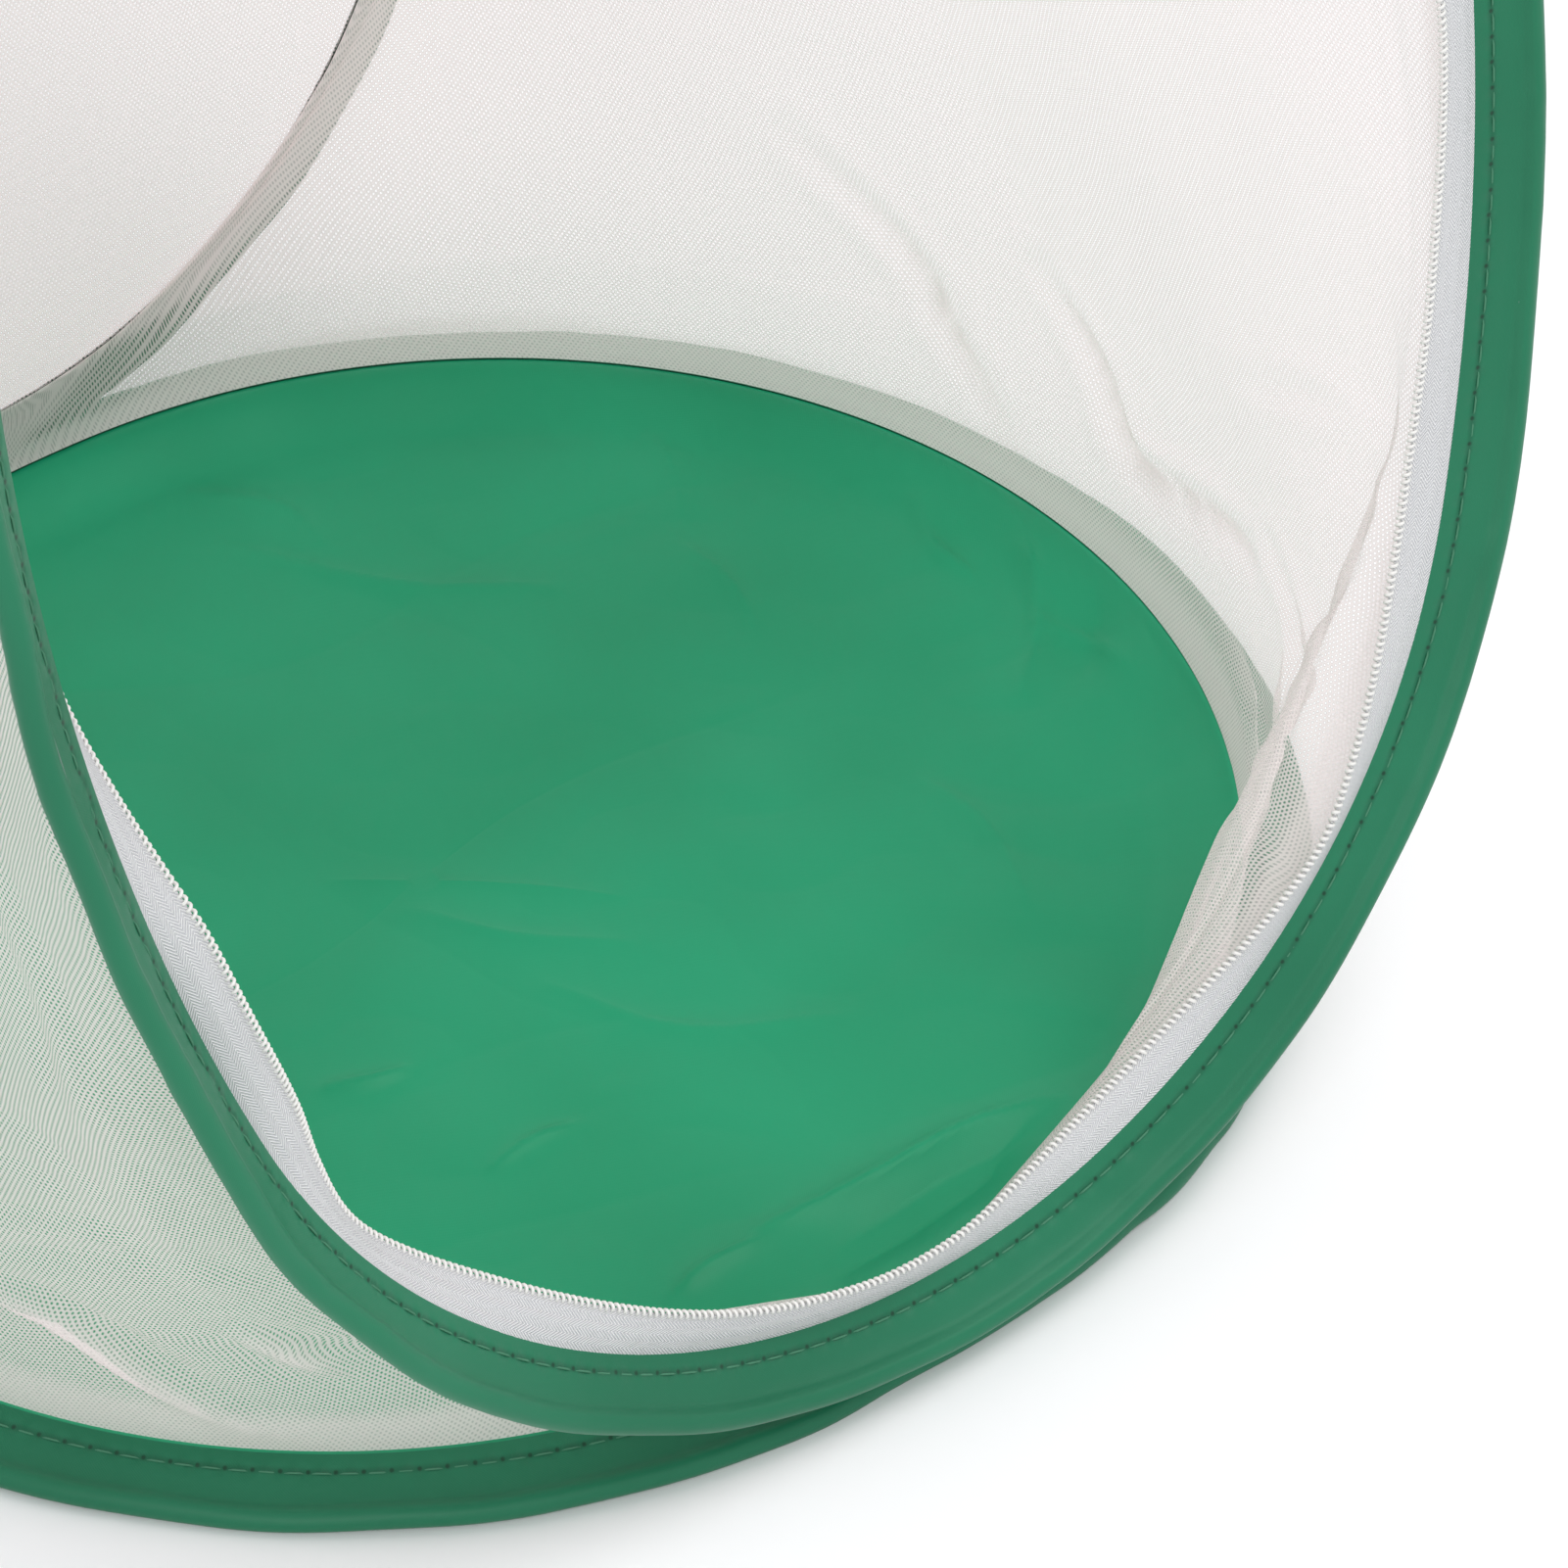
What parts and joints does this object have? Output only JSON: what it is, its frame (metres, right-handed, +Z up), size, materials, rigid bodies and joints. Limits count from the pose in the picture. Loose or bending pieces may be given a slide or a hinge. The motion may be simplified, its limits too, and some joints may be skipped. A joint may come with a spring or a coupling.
{
  "type": "pop-up insect cage",
  "caption": "Pop-up insect cage: sewn ring of green-sleeved spring-wire loops, green floor, white mesh walls and a zipped door flap that opens over the roof; folds flat.",
  "frame": {"origin": "on the ground under the middle of the base loop", "axes": "+X along the front loop to the viewer's right, -Y out of the door opening, +Z up"},
  "size_m": [0.3942, 0.61, 0.5469],
  "materials": {
    "green_floor": "satin",
    "green_sleeve": "satin",
    "white_mesh": "matte",
    "white_tape": "matte",
    "white_coil": "satin",
    "spring_steel": "satin",
    "white_enamel": "gloss"
  },
  "bodies": {
    "base": {"base_wire": "spring_steel", "base_ferrule": "spring_steel", "base_sleeve": "green_sleeve", "floor_panel": "green_floor", "left_end_mesh": "white_mesh", "right_end_mesh": "white_mesh"},
    "front_loop": {"front_wire": "spring_steel", "front_ferrule": "spring_steel", "front_sleeve": "green_sleeve", "frame_zip_tape": "white_tape", "frame_zip_coil": "white_coil", "left_top_stop": "white_enamel", "right_top_stop": "white_enamel"},
    "back_loop": {"back_wire": "spring_steel", "back_ferrule": "spring_steel", "back_sleeve": "green_sleeve", "back_mesh": "white_mesh"},
    "roof_loop": {"roof_wire": "spring_steel", "roof_ferrule": "spring_steel", "roof_sleeve": "green_sleeve", "roof_mesh": "white_mesh"},
    "door": {"door_mesh": "white_mesh", "door_zip_tape": "white_tape", "door_zip_coil": "white_coil"},
    "left_slider": {"left_slider": "white_enamel"},
    "left_pull": {"left_pull": "white_enamel"},
    "right_slider": {"right_slider": "white_enamel"},
    "right_pull": {"right_pull": "white_enamel"}
  },
  "joints": [
    {"name": "front_fold", "type": "hinge", "parent": "base", "child": "front_loop", "pos_m": [0, -0.1766, 0.02176], "axis": [1, 0, 0], "range_deg": [0, 96], "stiffness_Nm_per_rad": 3, "deforming": ["left_end_mesh", "right_end_mesh"]},
    {"name": "back_fold", "type": "hinge", "parent": "base", "child": "back_loop", "pos_m": [0, 0.168, 0.02479], "axis": [1, 0, 0], "range_deg": [0, 96]},
    {"name": "roof_fold", "type": "hinge", "parent": "front_loop", "child": "roof_loop", "pos_m": [0, -0.07222, 0.50051], "axis": [1, 0, 0], "range_deg": [-96, 0]},
    {"name": "door_swing", "type": "hinge", "parent": "front_loop", "child": "door", "pos_m": [0, -0.08323, 0.53184], "axis": [1, 0, 0], "range_deg": [0, 260.5]},
    {"name": "left_zip", "type": "hinge", "parent": "front_loop", "child": "left_slider", "pos_m": [0, -0.10546, 0.34802], "axis": [0, -0.977, 0.213], "range_deg": [0, 36]},
    {"name": "left_pull_turn", "type": "hinge", "parent": "left_slider", "child": "left_pull", "pos_m": [-0.07722, -0.08217, 0.4701], "axis": [-0.5238, 0.1815, 0.8323], "range_deg": [0, 118]},
    {"name": "right_zip", "type": "hinge", "parent": "front_loop", "child": "right_slider", "pos_m": [0, -0.10546, 0.34802], "axis": [0, 0.977, -0.213], "range_deg": [0, 36]},
    {"name": "right_pull_turn", "type": "hinge", "parent": "right_slider", "child": "right_pull", "pos_m": [0.07722, -0.08217, 0.4701], "axis": [-0.5238, -0.1815, -0.8323], "range_deg": [0, 118]}
  ],
  "couplings": [
    {"joint": "back_fold", "follows": "front_fold", "ratio": 1},
    {"joint": "roof_fold", "follows": "front_fold", "ratio": -1}
  ]
}
